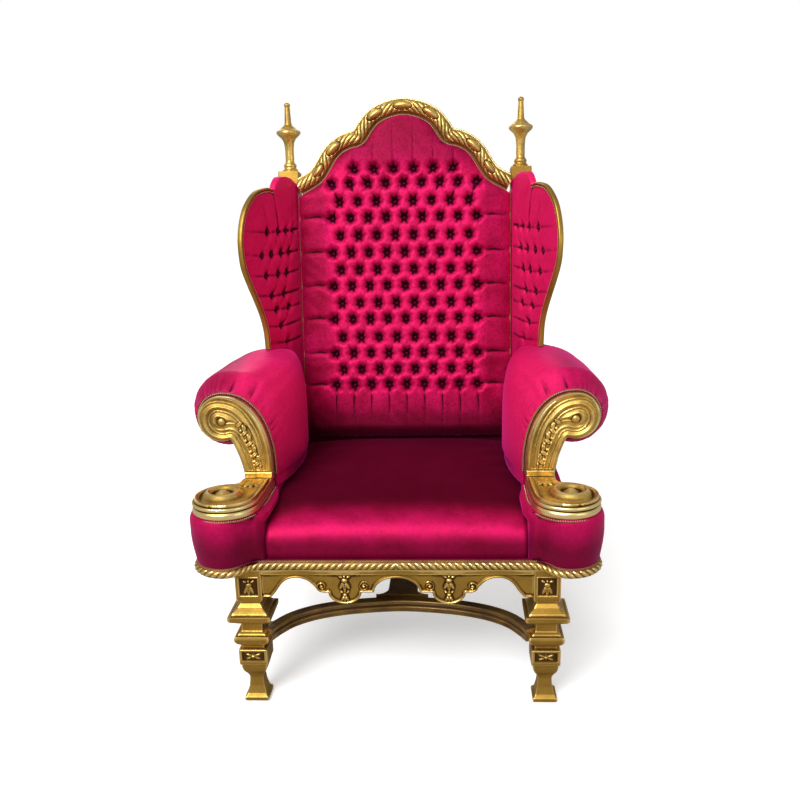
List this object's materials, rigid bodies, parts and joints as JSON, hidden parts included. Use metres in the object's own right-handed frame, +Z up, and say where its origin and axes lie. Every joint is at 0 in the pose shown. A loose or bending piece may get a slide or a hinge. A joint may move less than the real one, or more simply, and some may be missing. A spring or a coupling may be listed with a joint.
{
  "type": "throne armchair",
  "caption": "High-backed wing throne: carved gilt frame with a crested back, scrolled arms and square legs, and deep-buttoned velvet upholstery.",
  "frame": {"origin": "on the floor, under the middle of the bounding box", "axes": "+Z up, -Y towards the front of the seat, +X to the right of someone facing the throne"},
  "size_m": [1.2908, 1.0738, 1.8002],
  "materials": {
    "gilt": "antique gilding over carved wood, worn bright on edges and brown in recesses",
    "velvet": "crimson cut velvet with a magenta sheen"
  },
  "bodies": {
    "root": {"front_leg_left": "gilt", "front_leg_right": "gilt", "back_post_left": "gilt", "back_post_right": "gilt", "apron_front": "gilt", "side_rail_left": "gilt", "side_rail_right": "gilt", "back_rail": "gilt", "seat_board": "gilt", "stretcher_front": "gilt", "stretcher_back": "gilt", "stretcher_link": "gilt", "arm_volute_left": "gilt", "arm_volute_right": "gilt", "arm_scroll_left": "gilt", "arm_scroll_right": "gilt", "wing_edge_left": "gilt", "wing_edge_right": "gilt", "crest_rail": "gilt", "finial_left": "gilt", "finial_right": "gilt", "seat": "velvet", "arm_base_left": "velvet", "arm_base_right": "velvet", "arm_left": "velvet", "arm_right": "velvet", "wing_left": "velvet", "wing_right": "velvet", "back_pad": "velvet", "back_panel": "velvet"}
  },
  "joints": []
}
